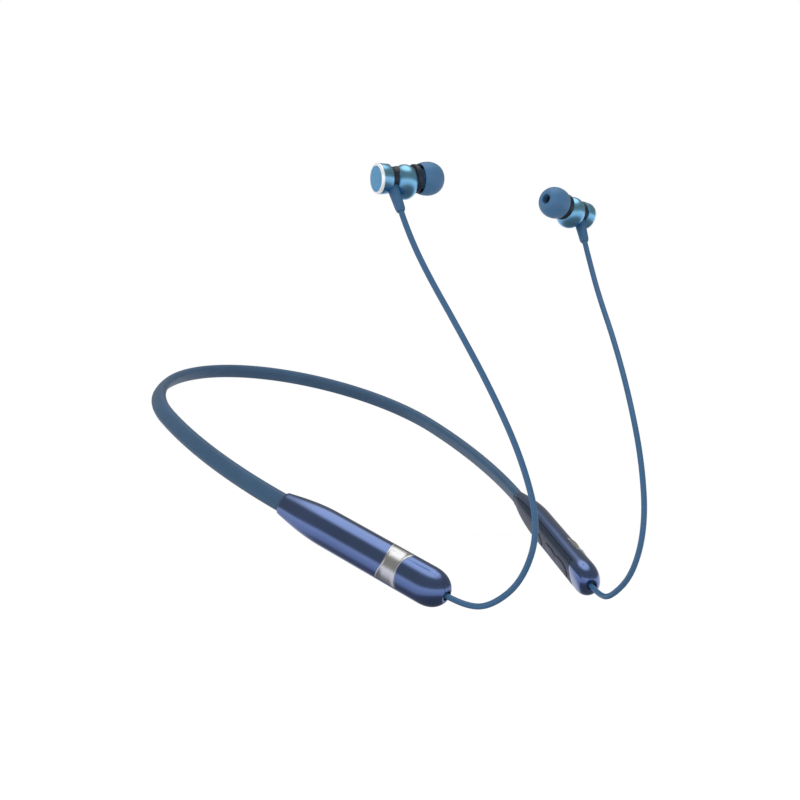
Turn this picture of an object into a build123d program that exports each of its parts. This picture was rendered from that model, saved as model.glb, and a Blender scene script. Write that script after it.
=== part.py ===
from build123d import *
import math
import os

# Neckband earphones, as worn. Millimetres, +Z up. The wearer faces -Y and the left ear is on +X.
# The origin is the middle of the bow's inner face, where the band rests on the nape.
# A name ending in _at is a distance along a pod from the mouth that the band enters, or along an
# earbud from the face of its back disc.

# ---- Driving dimensions: the neckband ----
band_tilt = 24.7
section_lean = 30.0
bow_radius = 71.2
bow_half_angle = 86.4
arm_radius = 224.2
arm_angle = 22.3
band_height = 7.3
band_thickness = 4.1
band_edge_radius = 1.9
wire_radius = 0.6
harness_radius = 0.7
core_spacing = 3.2
flex_angle = 50.0
flex_gap = 0.2
opening_angle = 16.0
closing_angle = 7.0

# ---- Driving dimensions: the pods ----
pod_length = 78.0
pod_half_height = 7.05
pod_outer_depth = 5.9
pod_inner_depth = 4.6
pod_wall = 1.3
mouth_half_height = 4.5
mouth_half_depth = 2.9
taper_length = 23.0
dome_length = 9.0
dome_fullness = 0.93
dome_power = 2.4
seam_depth = 2.4
cover_lip = 1.8
cover_length = 67.5
cover_wall = 1.0
band_insert = 8.0
crimp_length = 3.0
crimp_radius = 1.5

# ---- Saddle trim ----
trim_at = 55.8
trim_waist = 6.6
trim_edge_width = 11.8
trim_depth = 0.6
trim_end_depth = 2.4

# ---- Cord, its gland in the pod's tip, and its boot on the earbud ----
cord_diameter = 2.1
tip_hole_radius = 1.8
gland_recess = 1.0
gland_length = 3.2
gland_flange_radius = 2.6
gland_flange = 1.0
boot_length = 9.5
boot_root_radius = 2.4
boot_end_radius = 1.9
boot_root_share = 0.6
boot_clearance = 0.02

# ---- Controls of the left pod ----
button_at = 33.0
button_radius = 3.4
button_proud = 0.5
button_clearance = 0.12
button_flange = 0.7
button_flange_thickness = 0.4
button_travel = 0.3
rocker_at = 53.0
rocker_length = 21.8
rocker_lobe_radius = 3.1
rocker_waist = 4.4
rocker_proud = 0.6
rocker_plate = 1.4
rocker_clearance = 0.25
rocker_angle = 3.0
rocker_foot_reach = 7.0
rocker_foot_radius = 0.9
rocker_hub_radius = 0.95
rocker_hub_width = 4.0
pin_radius = 0.5
pin_length = 7.8
pin_depth = 3.3
pin_clearance = 0.05
lug_gap = 0.25
lug_size = 2.2
lug_cap = 0.3
lobe_clearance = 0.1
cut_over = 0.01
cut_clear = 1.0

# ---- Electronics ----
board_start = 15.0
board_length = 50.0
board_half_width = 4.7
board_thickness = 1.0
board_depth = 1.5
switch_size = 3.0
switch_height = 1.2
plunger_radius = 0.7
plunger_clearance = 0.05
plunger_stand = 0.25
plunger_floor = 0.3
screw_ats = (18.5, 63.4)
screw_radius = 0.6
screw_head_radius = 1.2
screw_head = 0.5
screw_reach = 2.5
boss_radius = 1.5
port_at = 27.5
port_width = 8.94
port_height = 3.26
port_length = 6.4
port_wall = 0.3
port_recess = 0.3
port_clearance = 0.1
tongue_share = 0.75
tongue_thickness = 0.7
tongue_recess = 1.2
lamp_at = 36.5
lamp_radius = 0.6
lamp_length = 2.6
microphone_at = 22.5
microphone_size = (2.7, 0.9, 1.9)
microphone_hole = 0.5
chip_at = 46.0
chip_size = (6.0, 0.9, 6.0)
battery_start = 20.0
battery_size = (36.0, 4.8, 8.2)
battery_depth = 2.0
battery_corner = 0.9
pad_size = (28.0, 6.0)
cell_board_size = (6.5, 0.8, 6.0)

# ---- Earbud ----
bud_place = (51.9, -186.7, 53.2)
bud_direction = (-0.98, -0.158, 0.117)
boot_direction = (-0.09, -0.37, -0.925)
disc_radius = 4.6
disc_thickness = 0.8
ring_radius = 5.5
ring_width = 1.0
ring_bevel = 0.5
ring_land = 0.2
ring_seat = 0.6
collar_draft = 0.2
magnet_radius = 3.6
magnet_thickness = 1.8
collar_end = 4.8
waist_at = 5.6
waist_radius = 4.3
waist_end = 6.8
bud_wall = 0.9
bulb_at = 10.9
bulb_radius = 6.3
bulb_half_length = 4.8
bulb_drop = 1.4
shoulder_radius = 4.4
nozzle_start = 14.9
nozzle_radius = 2.7
nozzle_bore = 1.9
nozzle_end = 23.0
nozzle_root = 1.0
tip_ring_width = 1.7
tip_ring_radius = 5.2
tip_ring_round = 0.4
mesh_thickness = 0.4
driver_radius = 4.8
driver_thickness = 1.8
ear_tip_gap = 0.3
ear_tip_clearance = 0.05
ear_tip_end = 26.4
ear_tip_radius = 6.1
ear_tip_wall = 0.8
tip_dome = 5.4
tip_crown = 1.6
tip_land = 1.1
tip_dome_inset = 0.95
tip_dome_drop = 2.3
skirt_lap = 1.2
skirt_draft = 0.1

# ---- Route of the left cord between its first and last runs, which the pod and the boot set ----
cord_route = (
    (28.6, -220.5, -95.8),
    (26.0, -234.0, -86.5),
    (25.0, -241.0, -69.0),
    (28.3, -236.7, -47.0),
    (33.0, -227.0, -24.0),
    (38.0, -215.0, -1.5),
    (41.8, -203.3, 18.0),
)
cord_first_run = 8.5
cord_last_run = 9.5
run_share = 0.45

CUT = 40.0
TAPER_STEPS = (0.3, 0.6, 0.85)
BARREL_STEPS = (0.0, 0.15, 0.35, 0.5, 0.65, 0.85, 1.0)
DOME_STEPS = (0.35, 0.62, 0.82, 0.94)


# ---- Band curve ----
# Drawn flat, in the band's own plane, with the nape on the origin and the pods towards -Y.
bow_centre = Vector(0, -bow_radius, 0)
arm_heading = bow_half_angle + arm_angle
bow_end = bow_centre + Vector(0, bow_radius, 0).rotate(Axis.Z, -bow_half_angle)
arm_centre = bow_end - Vector(0, arm_radius, 0).rotate(Axis.Z, -bow_half_angle)
arm_end = arm_centre + Vector(0, arm_radius, 0).rotate(Axis.Z, -arm_heading)
pod_heading = Vector(1, 0, 0).rotate(Axis.Z, -arm_heading)
nape_lean = Vector(0, 1, 0).rotate(Axis.X, section_lean)
nape_plane = Plane(origin=(0, 0, 0), x_dir=nape_lean, z_dir=(1, 0, 0))
as_worn = Rot(X=band_tilt) * Pos(*(nape_lean * (band_thickness / 2)))


def along_bow(section, start, end):
    """Turn a section of the nape round the bow, from one angle to another."""
    turned = section.rotate(Axis(bow_centre, (0, 0, 1)), -start)
    return revolve(turned, Axis(bow_centre, (0, 0, -1)), revolution_arc=end - start)


def along_arm(section):
    """Turn a section of the nape round the gentle outer stretch of an arm."""
    turned = section.rotate(Axis(bow_centre, (0, 0, 1)), -bow_half_angle)
    return revolve(turned, Axis(arm_centre, (0, 0, -1)), revolution_arc=arm_angle)


# ---- Pod frame: X along the pod from its mouth, Y out of the broad face, Z to the top edge ----
pod_up = Vector(0, 0, 1).rotate(Axis(origin=(0, 0, 0), direction=pod_heading), section_lean)
pod_frame = as_worn * Plane(origin=arm_end, x_dir=pod_heading, z_dir=pod_up).location


def on_pod(shape):
    """Place a shape drawn in the pod frame on the left pod, as worn."""
    return pod_frame * shape


def to_right(shape):
    """Mirror a left-hand piece to the right-hand side."""
    return mirror(shape, about=Plane.YZ)


def across(at):
    """Plane across the pod at a distance from its mouth: its own X is depth and its Y is height."""
    return Plane(origin=(at, 0, 0), x_dir=(0, 1, 0), z_dir=(1, 0, 0))


def block(start, length, low_y, high_y, low_z, high_z):
    """Box in the pod frame, from its limits."""
    centre = Pos(start + length / 2, (low_y + high_y) / 2, (low_z + high_z) / 2)
    return centre * Box(length, high_y - low_y, high_z - low_z)


def post(at, radius, low_y, high_y, z=0.0):
    """Round post in the pod frame, standing along its depth."""
    return Pos(at, (low_y + high_y) / 2, z) * Rot(X=90) * Cylinder(radius, high_y - low_y)


# ---- Neckband sections ----
band_outline = RectangleRounded(band_thickness, band_height, band_edge_radius)
wire_hole = Pos(0, core_spacing / 2) * Circle(wire_radius)
harness_hole = Pos(0, -core_spacing / 2) * Circle(harness_radius)
sheath_section = nape_plane * (band_outline - wire_hole - harness_hole)
wire_section = nape_plane * wire_hole
harness_section = nape_plane * harness_hole


def nape_stretch(section):
    """The stretch of a neckband piece that stays on the nape, between the two flex hinges."""
    right_end = section.rotate(Axis(bow_centre, (0, 0, 1)), flex_angle)
    return revolve(right_end, Axis(bow_centre, (0, 0, -1)), revolution_arc=2 * flex_angle)


def flex_wedge():
    """Room at the flex hinge for the arm to open and close without meeting the nape's stretch."""
    reach = band_height
    outer = reach * math.tan(math.radians(opening_angle))
    inner = reach * math.tan(math.radians(closing_angle))
    outline = Polyline(
        (-reach, reach), (outer, reach), (0, 0), (inner, -reach), (-reach, -reach), close=True)
    wedge = extrude(make_face(outline), amount=reach, both=True)
    hinge = Plane(origin=(0, 0, 0), x_dir=(1, 0, 0), z_dir=(0, 0, 1)).location * Pos(flex_gap, 0, 0)
    return (hinge * wedge).rotate(Axis(bow_centre, (0, 0, 1)), -flex_angle)


def arm_stretch(section, straight):
    """The stretch of a neckband piece that rides on the left arm and runs on into its pod."""
    bow_part = along_bow(section, flex_angle, bow_half_angle)
    outer_part = along_arm(section)
    turned = section.rotate(Axis(bow_centre, (0, 0, 1)), -bow_half_angle)
    end_section = turned.rotate(Axis(arm_centre, (0, 0, 1)), -arm_angle)
    pod_part = extrude(end_section, amount=straight, dir=pod_heading)
    return bow_part + outer_part + pod_part - flex_wedge()


# ---- Pod forms ----
def pod_share(at):
    """Share of the pod's full half height at a distance from its mouth."""
    mouth_share = mouth_half_height / pod_half_height
    if at < taper_length:
        return mouth_share + (1 - mouth_share) * math.sin(math.pi / 2 * max(at, 0) / taper_length)
    dome_start = pod_length - dome_length
    if at > dome_start:
        share = dome_fullness * (at - dome_start) / dome_length
        return math.sqrt(1 - share ** dome_power)
    return 1.0


def pod_depth_share(at):
    """Share of the pod's full half depth: as the height's, but the mouth is slimmer."""
    if at < taper_length:
        mouth_share = mouth_half_depth / pod_outer_depth
        return mouth_share + (1 - mouth_share) * math.sin(math.pi / 2 * max(at, 0) / taper_length)
    return pod_share(at)


def pod_form(inset, start, end):
    """Smooth solid of the pod's outline, drawn in by an inset all round."""
    dome_start = pod_length - dome_length
    barrel = dome_start - taper_length
    stations = [start] + [taper_length * share for share in TAPER_STEPS]
    stations += [taper_length + barrel * share for share in BARREL_STEPS]
    stations += [dome_start + dome_length * share for share in DOME_STEPS]
    stations = [at for at in stations if start <= at < end - inset] + [end - inset]
    rings = []
    for at in stations:
        outer_at = at + inset if at > dome_start else at
        depth = pod_outer_depth * pod_depth_share(outer_at) - inset
        height = pod_half_height * pod_share(outer_at) - inset
        rings.append(across(at) * Ellipse(depth, height))
    return loft(rings)


def flat_cut(depth):
    """The space past the pod's flat inner face, at a depth from its middle."""
    return block(-CUT, pod_length + 2 * CUT, -CUT, -depth, -CUT, CUT)


def cover_zone():
    """The space that the inner cover takes of the pod: the inner side, up to the seam."""
    return block(-cover_lip, cover_length + cover_lip, -CUT, -seam_depth, -CUT, CUT)


outer_form = pod_form(0.0, -cover_lip, pod_length) - flat_cut(pod_inner_depth)
cavity = pod_form(pod_wall, band_insert, pod_length) - flat_cut(pod_inner_depth - cover_wall)
band_passage = extrude(across(-cover_lip) * band_outline, amount=cover_lip + band_insert)
tip_passage = extrude(across(pod_length - 4 * gland_length) * Circle(tip_hole_radius), amount=CUT)
pod_skin = outer_form - cavity - band_passage - tip_passage
inner_skin = pod_skin & cover_zone()
outer_skin = pod_skin - cover_zone() - block(-CUT, CUT, -CUT, CUT, -CUT, CUT)


def trim_outline():
    """Hourglass of the saddle trim, seen from outside: concave ends, widest at the pod's two edges."""
    half_edge = trim_edge_width / 2
    half_waist = trim_waist / 2
    reach = pod_half_height + 1
    start_arc = ThreePointArc((-half_edge, -reach), (-half_waist, 0), (-half_edge, reach))
    end_arc = ThreePointArc((half_edge, reach), (half_waist, 0), (half_edge, -reach))
    top = Line((-half_edge, reach), (half_edge, reach))
    bottom = Line((half_edge, -reach), (-half_edge, -reach))
    return make_face(Curve() + [start_arc, top, end_arc, bottom])


trim_plane = Plane(origin=(trim_at, trim_end_depth, 0), x_dir=(1, 0, 0), z_dir=(0, -1, 0))
trim_prism = extrude(trim_plane * trim_outline(), amount=-CUT)
under_trim = pod_form(trim_depth, 0.0, pod_length)
saddle_trim = (outer_form - under_trim) & trim_prism
outer_skin = outer_skin - saddle_trim

# ---- Gland, crimp ----
gland_front = pod_length - gland_recess
gland = extrude(across(gland_front - gland_length) * Circle(tip_hole_radius), amount=gland_length)
flange_plane = across(gland_front - gland_length - gland_flange)
gland = gland + extrude(flange_plane * Circle(gland_flange_radius), amount=gland_flange)
gland_pocket = extrude(flange_plane * Circle(gland_flange_radius), amount=gland_flange)
outer_skin = outer_skin - gland_pocket
crimp_place = across(band_insert) * Pos(0, core_spacing / 2)
wire_crimp = extrude(crimp_place * (Circle(crimp_radius) - Circle(wire_radius)), amount=crimp_length)

# ---- Controls of the left pod ----
face_y = -pod_inner_depth
wall_y = face_y + cover_wall
board_y = -board_depth
switch_top = board_y - switch_height
plunger_top = switch_top - plunger_stand


def rocker_outline(grow):
    """Two-lobed outline of the volume rocker in its own plane, grown all round by a clearance."""
    lobe = rocker_lobe_radius + grow
    reach = rocker_length / 2 - rocker_lobe_radius
    inner = rocker_lobe_radius + lug_size / 2 + lobe_clearance
    lobes = [Pos(x) * Circle(lobe) for x in (-reach, -inner, inner, reach)]
    spans = ((-reach, -inner), (inner, reach))
    bars = [Pos((x0 + x1) / 2) * Rectangle(x1 - x0, 2 * lobe) for x0, x1 in spans]
    waist = Rectangle(2 * inner, rocker_waist + 2 * grow)
    return waist + lobes + bars


rocker_plane = Plane(origin=(rocker_at, 0, 0), x_dir=(1, 0, 0), z_dir=(0, -1, 0))


def rocker_prism(grow, low_y, high_y):
    """Prism of the rocker's outline between two depths."""
    return extrude(rocker_plane * Pos(0, 0, -high_y) * rocker_outline(grow), amount=high_y - low_y)


pin = Pos(rocker_at, -pin_depth, 0) * Cylinder(pin_radius, pin_length)
pin_bore = Pos(rocker_at, -pin_depth, 0) * Cylinder(pin_radius + pin_clearance, rocker_hub_width + 2)
hub = Pos(rocker_at, -pin_depth, 0) * Cylinder(rocker_hub_radius, rocker_hub_width)
plate_back = face_y - rocker_proud + rocker_plate
rocker = rocker_prism(0.0, face_y - rocker_proud, plate_back)
rocker = rocker + hub + block(
    rocker_at - rocker_hub_radius, 2 * rocker_hub_radius, plate_back, -pin_depth,
    -rocker_hub_width / 2, rocker_hub_width / 2)
foot_swing = rocker_foot_reach * math.sin(math.radians(rocker_angle))
foot_end = plunger_top - foot_swing - plunger_clearance
for end in (-1, 1):
    rocker = rocker + post(rocker_at + end * rocker_foot_reach, rocker_foot_radius, plate_back, foot_end)
rocker = rocker - pin_bore

lug_inner = rocker_hub_width / 2 + lug_gap
lugs = []
lug_outer = pin_length / 2 + lug_cap
for low_z, high_z in ((lug_inner, lug_outer), (-lug_outer, -lug_inner)):
    lugs.append(block(rocker_at - lug_size / 2, lug_size, wall_y, -pin_depth + lug_size / 2, low_z, high_z))

button = post(button_at, button_radius, face_y - button_proud, wall_y + pin_clearance)
flange_y = wall_y + pin_clearance
button = button + post(
    button_at, button_radius + button_flange, flange_y, flange_y + button_flange_thickness)
button = button + post(button_at, plunger_radius, flange_y, plunger_top)
power_plunger = post(button_at, plunger_radius, plunger_top, board_y - plunger_floor - button_travel)


def switch_case(at):
    """Case of a tact switch on the board."""
    half = switch_size / 2
    return block(at - half, switch_size, switch_top, board_y, -half, half)


power_switch = switch_case(button_at) - post(
    button_at, plunger_radius + plunger_clearance, switch_top,
    board_y - plunger_floor + plunger_clearance / 2)
volume_switches = []
for end in (-1, 1):
    switch_at = rocker_at + end * rocker_foot_reach
    stem = post(switch_at, plunger_radius, plunger_top, switch_top)
    volume_switches.append(switch_case(switch_at) + stem)

button_hole = post(button_at, button_radius + button_clearance, face_y - cut_clear, wall_y + cut_over)
flange_radius = button_radius + button_flange
flange_pocket = post(button_at, flange_radius + rocker_clearance, wall_y, -seam_depth)
microphone_port = post(microphone_at, microphone_hole, face_y - cut_clear, -seam_depth)
rocker_opening = rocker_prism(rocker_clearance, face_y - cut_clear, -seam_depth)
left_cover = inner_skin - button_hole - rocker_opening - microphone_port - flange_pocket
for lug in lugs:
    left_cover = left_cover + lug
left_cover = left_cover - pin

# ---- Electronics of the left pod ----
board_back = board_y + board_thickness
main_board = block(board_start, board_length, board_y, board_back, -board_half_width, board_half_width)
screws = []
bosses = []
for at in screw_ats:
    main_board = main_board - post(at, screw_radius + plunger_clearance, board_y, board_back)
    bosses.append(post(at, boss_radius, board_back, pod_outer_depth - pod_wall / 2))
    shank = post(at, screw_radius, board_y, board_back + screw_reach)
    screws.append(shank + post(at, screw_head_radius, board_y - screw_head, board_y))
chip_x, chip_y, chip_z = chip_size
chip = block(chip_at - chip_x / 2, chip_x, board_back, board_back + chip_y, -chip_z / 2, chip_z / 2)
mic_x, mic_y, mic_z = microphone_size
microphone = block(microphone_at - mic_x / 2, mic_x, board_y - mic_y, board_y, -mic_z / 2, mic_z / 2)

port_y = board_back + port_height / 2
port_mouth = -pod_half_height + port_recess
port_plane = Plane(origin=(port_at, port_y, port_mouth), x_dir=(1, 0, 0), z_dir=(0, 0, -1))


def port_slot(grow, depth, outward):
    """Stadium prism of the charging port, grown all round, going in and coming out of its mouth."""
    outline = SlotOverall(port_width + 2 * grow, port_height + 2 * grow)
    return extrude(port_plane * Pos(0, 0, -depth) * outline, amount=depth + outward)


charging_port = port_slot(0.0, port_length, 0.0) - port_slot(-port_wall, port_length - port_wall, cut_clear)
tongue_length = port_length - tongue_recess
tongue_width = port_width * tongue_share
tongue = Box(tongue_width, tongue_thickness, tongue_length)
tongue = Pos(port_at, port_y, port_mouth + port_length - tongue_length / 2) * tongue
charging_port = charging_port + tongue
charge_lamp = Pos(lamp_at, port_y, port_mouth + lamp_length / 2) * Cylinder(lamp_radius, lamp_length)
lamp_hole = Pos(lamp_at, port_y, port_mouth) * Cylinder(lamp_radius, 2 * lamp_length)

left_shell = outer_skin - port_slot(port_clearance, port_length + port_clearance, cut_clear) - lamp_hole
for boss in bosses:
    left_shell = left_shell + boss
for screw in screws:
    left_shell = left_shell - screw
right_shell = outer_skin

# ---- Battery of the right pod, drawn on the left and mirrored with it ----
cell_x, cell_y, cell_z = battery_size
battery = block(battery_start, cell_x, -battery_depth, cell_y - battery_depth, -cell_z / 2, cell_z / 2)
battery = fillet(battery.edges().filter_by(Axis.X), battery_corner)
pad_start = battery_start + (cell_x - pad_size[0]) / 2
battery_pad = block(pad_start, pad_size[0], wall_y, -battery_depth, -pad_size[1] / 2, pad_size[1] / 2)
board_x, board_t, board_z = cell_board_size
cell_board = block(battery_start + cell_x, board_x, 0, board_t, -board_z / 2, board_z / 2)

# ---- Earbud frame: Z from the back disc to the ear tip, X to the side of the cord boot ----
bud_axis = Vector(*bud_direction).normalized()
boot_axis = Vector(*boot_direction).normalized()
boot_side = (boot_axis - bud_axis * boot_axis.dot(bud_axis)).normalized()
bud_frame = Plane(origin=bud_place, x_dir=boot_side, z_dir=bud_axis).location


def on_bud(shape):
    """Place a shape drawn in the earbud frame on the left earbud, as worn."""
    return bud_frame * shape


def disc(radius, start, end):
    """Round disc on the earbud's axis between two distances from its back face."""
    return Pos(0, 0, (start + end) / 2) * Cylinder(radius, end - start)


def turned(*points):
    """Solid turned about the earbud's axis from an outline of radius and distance."""
    outline = Polyline(*points, close=True)
    return revolve(Plane.XZ * make_face(outline), Axis.Z)


def bulb(inset):
    """Bulb of the earbud, drawn in by an inset, standing off the axis towards the boot."""
    ellipse = Ellipse(bulb_radius - inset, bulb_half_length - inset)
    half = ellipse & (Pos(bulb_radius, 0) * Rectangle(2 * bulb_radius, 4 * bulb_radius))
    return Pos(bulb_drop, 0, bulb_at) * revolve(Plane.XZ * half, Axis.Z)


back_disc = disc(disc_radius, 0, disc_thickness)
bevel_ring = turned(
    (disc_radius, 0), (disc_radius + ring_land, 0), (ring_radius, ring_bevel), (ring_radius, ring_width),
    (disc_radius - ring_seat, ring_width), (disc_radius - ring_seat, disc_thickness),
    (disc_radius, disc_thickness))
magnet = disc(magnet_radius, disc_thickness, disc_thickness + magnet_thickness)
rear_housing = turned(
    (magnet_radius, ring_width), (ring_radius, ring_width), (ring_radius - collar_draft, collar_end),
    (waist_radius, waist_at), (waist_radius, waist_end), (waist_radius - bud_wall, waist_end),
    (waist_radius - bud_wall, disc_thickness + magnet_thickness),
    (magnet_radius, disc_thickness + magnet_thickness))
nozzle = disc(nozzle_radius, nozzle_start - nozzle_root, nozzle_end)
front_housing = bulb(0) + disc(shoulder_radius, bulb_at, nozzle_start) + nozzle
front_housing = front_housing - disc(2 * bulb_radius, 0, waist_end)
front_housing = front_housing - bulb(bud_wall) - disc(nozzle_bore, bulb_at, nozzle_end)
front_housing = front_housing - disc(waist_radius - bud_wall, 0, bulb_at)
tip_ring = disc(tip_ring_radius, nozzle_start, nozzle_start + tip_ring_width)
tip_ring = fillet(tip_ring.edges(), tip_ring_round) - disc(nozzle_radius, 0, nozzle_end) - bulb(0)
nozzle_mesh = disc(nozzle_bore, nozzle_end - mesh_thickness, nozzle_end)
driver = Pos(bulb_drop, 0, 0) * disc(
    driver_radius, bulb_at - driver_thickness / 2, bulb_at + driver_thickness / 2)

tip_start = nozzle_start + tip_ring_width + ear_tip_gap
stem_bore = nozzle_radius + ear_tip_clearance
stem_radius = stem_bore + ear_tip_wall
crown = ear_tip_end - tip_dome
crown_back = crown + tip_crown


def ear_tip_body():
    """Mushroom ear tip: domed skirt round a stem that slips over the nozzle."""
    front_flat = nozzle_bore + tip_land
    skirt_start = tip_start + skirt_lap
    inner = ear_tip_radius - ear_tip_wall
    skirt_outer = ear_tip_radius - skirt_draft
    skirt_inner = inner - skirt_draft
    shoulder = (ear_tip_radius - tip_dome_inset, ear_tip_end - tip_dome_drop)
    lines = [
        Line((nozzle_bore, ear_tip_end), (front_flat, ear_tip_end)),
        ThreePointArc((front_flat, ear_tip_end), shoulder, (ear_tip_radius, crown)),
        Line((ear_tip_radius, crown), (skirt_outer, skirt_start)),
        Line((skirt_outer, skirt_start), (skirt_inner, skirt_start)),
        Line((skirt_inner, skirt_start), (inner, crown)),
        Line((inner, crown), (stem_radius, crown_back)),
        Line((stem_radius, crown_back), (stem_radius, tip_start)),
        Line((stem_radius, tip_start), (stem_bore, tip_start)),
        Line((stem_bore, tip_start), (stem_bore, nozzle_end + ear_tip_gap)),
        Line((stem_bore, nozzle_end + ear_tip_gap), (nozzle_bore, nozzle_end + ear_tip_gap)),
        Line((nozzle_bore, nozzle_end + ear_tip_gap), (nozzle_bore, ear_tip_end)),
    ]
    return revolve(Plane.XZ * make_face(Curve() + lines), Axis.Z)


ear_tip = ear_tip_body()

# ---- Cord boot: a taper from the waist, with its axis through the earbud's own axis ----
boot_root = Vector(*bud_place) + bud_axis * waist_at
boot_start = boot_root + boot_axis * (waist_radius * boot_root_share)
boot_end = boot_root + boot_axis * (waist_radius + boot_length)
boot_plane = Plane(origin=boot_start, x_dir=bud_axis, z_dir=boot_axis)
boot_reach = (boot_end - boot_start).length
boot_rings = [
    boot_plane * Circle(boot_root_radius),
    boot_plane * Pos(0, 0, boot_reach) * Circle(boot_end_radius),
]
bud_solids = [on_bud(disc(ring_radius + boot_clearance, 0, waist_at)), on_bud(bulb(0)), on_bud(rear_housing)]
boot = loft(boot_rings)
bud_core = on_bud(disc(waist_radius, 0, nozzle_start))
boot = boot - bud_core
for solid in bud_solids:
    boot = boot - solid

# ---- Cord: straight runs joined by tangent arcs ----
cord_start = (pod_frame * Pos(gland_front, 0, 0)).position
cord_lead = (pod_frame * Pos(gland_front + cord_first_run, 0, 0)).position
cord_finish = boot_end + boot_axis * cord_last_run
route = [cord_start, cord_lead] + [Vector(*point) for point in cord_route] + [cord_finish, boot_end]


def arc_radii(points):
    """Radius at each corner: as large as its two runs allow."""
    radii = []
    for before, corner, after in zip(points, points[1:], points[2:]):
        turn = math.radians((corner - before).get_angle(after - corner))
        shorter = min((corner - before).length, (after - corner).length)
        radii.append(run_share * shorter / math.tan(turn / 2))
    return radii


def cord_tube(points):
    """Plain tube of the cord along its route."""
    path = FilletPolyline(*points, radius=arc_radii(points))
    start = Plane(origin=path @ 0, z_dir=path % 0)
    tube = sweep(start * Circle(cord_diameter / 2), path=path)
    print("cord radii", [round(radius, 1) for radius in arc_radii(points)])
    print("cord runs", [round((b - a).length, 1) for a, b in zip(points, points[1:])])
    expected = path.length * math.pi * (cord_diameter / 2) ** 2
    print("cord length", round(path.length, 1))
    print("volume", round(tube.volume, 1), "expected", round(expected, 1))
    return tube


cord = cord_tube(route)
for point in route:
    print("route point", [round(value / 1000, 5) for value in (point.X, point.Y, point.Z)])

# ---- Nodes ----
left_pieces = {
    "arm_sheath": as_worn * arm_stretch(sheath_section, band_insert),
    "arm_spring_wire": as_worn * arm_stretch(wire_section, band_insert + crimp_length),
    "arm_harness": as_worn * arm_stretch(harness_section, band_insert),
    "saddle_trim": on_pod(saddle_trim),
    "cord_gland": on_pod(gland),
    "wire_crimp": on_pod(wire_crimp),
    "back_disc": on_bud(back_disc),
    "bevel_ring": on_bud(bevel_ring),
    "bud_magnet": on_bud(magnet),
    "rear_housing": on_bud(rear_housing),
    "front_housing": on_bud(front_housing),
    "tip_ring": on_bud(tip_ring),
    "nozzle_mesh": on_bud(nozzle_mesh),
    "driver": on_bud(driver),
    "ear_tip": on_bud(ear_tip),
    "cord_boot": boot,
    "cord": cord,
}
nodes = {
    "nape_sheath": as_worn * nape_stretch(sheath_section),
    "nape_spring_wire": as_worn * nape_stretch(wire_section),
    "nape_harness": as_worn * nape_stretch(harness_section),
    "left_outer_shell": on_pod(left_shell),
    "left_inner_cover": on_pod(left_cover),
    "multifunction_button": on_pod(button),
    "power_switch": on_pod(power_switch),
    "power_switch_plunger": on_pod(power_plunger),
    "volume_rocker": on_pod(rocker),
    "rocker_pin": on_pod(pin),
    "volume_switches": Compound([on_pod(switch) for switch in volume_switches]),
    "main_board": on_pod(main_board),
    "board_screws": Compound([on_pod(screw) for screw in screws]),
    "bluetooth_chip": on_pod(chip),
    "charging_port": on_pod(charging_port),
    "charge_lamp": on_pod(charge_lamp),
    "microphone": on_pod(microphone),
    "right_outer_shell": to_right(on_pod(right_shell)),
    "right_inner_cover": to_right(on_pod(inner_skin)),
    "battery": to_right(on_pod(battery)),
    "battery_pad": to_right(on_pod(battery_pad)),
    "battery_board": to_right(on_pod(cell_board)),
}
for name, piece in left_pieces.items():
    nodes["left_" + name] = piece
    nodes["right_" + name] = to_right(piece)

os.makedirs("parts", exist_ok=True)
for name, piece in nodes.items():
    export_step(piece, f"parts/{name}.step")
print(len(nodes), "nodes")
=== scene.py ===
import logging
import math
from dataclasses import dataclass
from enum import Enum
from typing import Callable, Sequence

import bmesh
import bpy
from mathutils import Matrix, Vector


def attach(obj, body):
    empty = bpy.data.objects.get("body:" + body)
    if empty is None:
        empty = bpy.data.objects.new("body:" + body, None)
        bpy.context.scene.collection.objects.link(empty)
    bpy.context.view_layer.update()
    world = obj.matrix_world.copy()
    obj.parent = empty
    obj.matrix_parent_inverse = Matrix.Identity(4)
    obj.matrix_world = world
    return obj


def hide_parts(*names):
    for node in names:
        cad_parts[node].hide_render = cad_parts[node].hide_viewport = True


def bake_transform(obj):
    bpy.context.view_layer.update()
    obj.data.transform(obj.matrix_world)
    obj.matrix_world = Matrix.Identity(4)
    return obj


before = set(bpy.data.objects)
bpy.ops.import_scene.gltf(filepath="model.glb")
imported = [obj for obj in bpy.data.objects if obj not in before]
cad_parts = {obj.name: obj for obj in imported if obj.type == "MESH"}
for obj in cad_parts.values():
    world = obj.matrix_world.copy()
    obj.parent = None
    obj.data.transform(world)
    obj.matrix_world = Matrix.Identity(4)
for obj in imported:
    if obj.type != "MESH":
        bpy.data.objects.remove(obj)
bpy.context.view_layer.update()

log = logging.getLogger("neckband_earphones")

MM = 0.001
Point = tuple[float, float]
Colour = tuple[float, float, float, float]
Wire = tuple[bpy.types.Node, str, bpy.types.Node, str | int]
Group = tuple[bpy.types.NodeTree, bpy.types.Node, bpy.types.Node]
Values = dict[str | int, object]


class Side(Enum):
    """The wearer's left, on +X, or the wearer's right."""

    LEFT = "left"
    RIGHT = "right"

    def name_of(self, piece: str) -> str:
        """A piece's or node's full name on this side."""
        return f"{self.value}_{piece}"

    @property
    def arm(self) -> str:
        """The body that this side's pod, cord and earbud ride on."""
        return f"{self.value}_arm"

    @property
    def turn(self) -> Matrix:
        """What takes a left-hand place to this side."""
        return Matrix.Identity(4) if self is Side.LEFT else Matrix.Scale(-1, 4, (1, 0, 0))


# ---------------------------------------------------------------- frames of the pieces


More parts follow.
